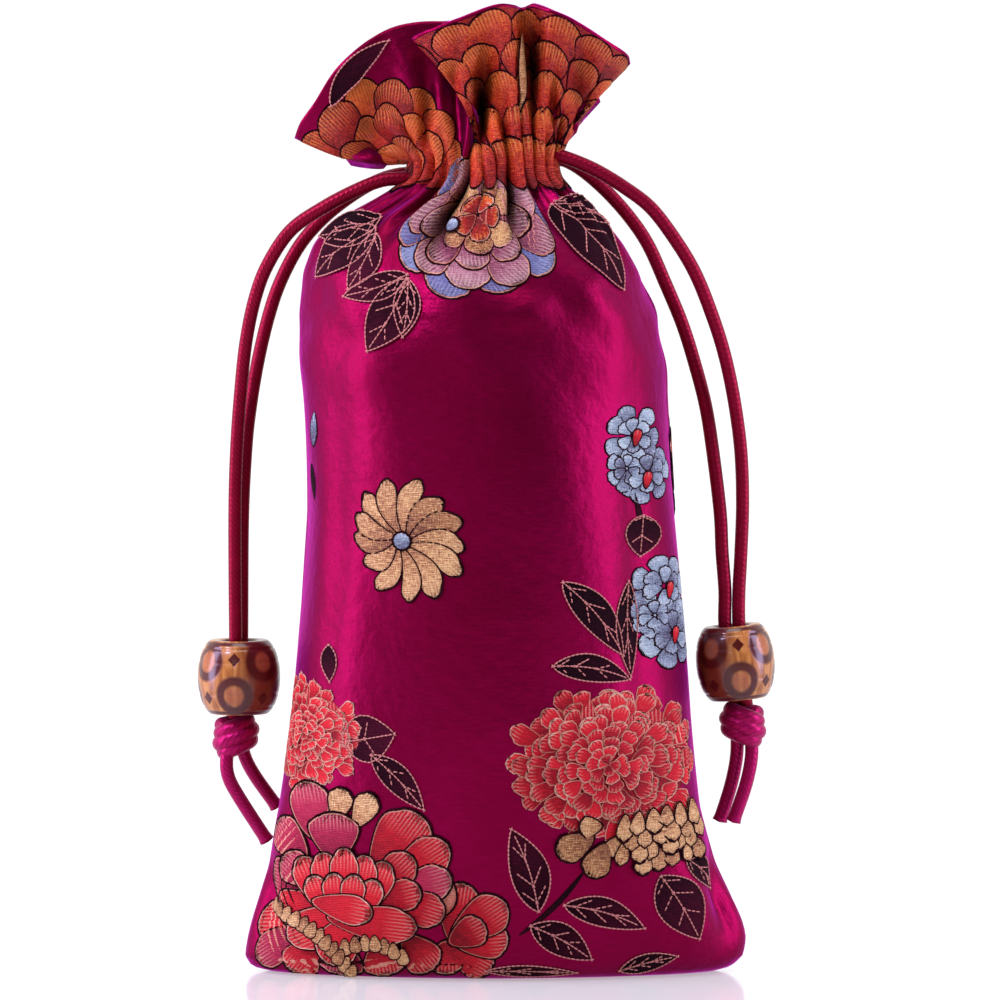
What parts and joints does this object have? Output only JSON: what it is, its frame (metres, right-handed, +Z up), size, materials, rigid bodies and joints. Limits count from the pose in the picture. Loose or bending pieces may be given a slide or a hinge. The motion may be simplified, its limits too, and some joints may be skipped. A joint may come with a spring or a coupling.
{
  "type": "kinchaku drawstring pouch",
  "caption": "Small gathered brocade drawstring pouch, drawn shut and standing, with twin satin cords and a sliding wooden bead on each side.",
  "frame": {"origin": "middle of the base, on the surface that the pouch stands on", "axes": "+Z up from the base to the frill, +X to the right seen from the front, front towards -Y"},
  "size_m": [0.1159, 0.0612, 0.1926],
  "materials": {
    "brocade": "magenta satin brocade with woven flowers and leaves",
    "cord_satin": "crimson satin rattail cord",
    "bead_wood": "glossy turned wood with burnt rings and dots"
  },
  "bodies": {
    "pouch": {"brocade_bag": "brocade", "left_drawstring": "cord_satin", "right_drawstring": "cord_satin", "left_knot": "cord_satin", "right_knot": "cord_satin"},
    "left_bead": {"left_bead": "bead_wood"},
    "right_bead": {"right_bead": "bead_wood"}
  },
  "joints": [
    {"name": "left_bead_slide", "type": "slide", "parent": "pouch", "child": "left_bead", "axis": [0, 0, 1], "range_m": [0, 0.018]},
    {"name": "right_bead_slide", "type": "slide", "parent": "pouch", "child": "right_bead", "axis": [-0.05, 0, 0.9987], "range_m": [0, 0.008]}
  ]
}
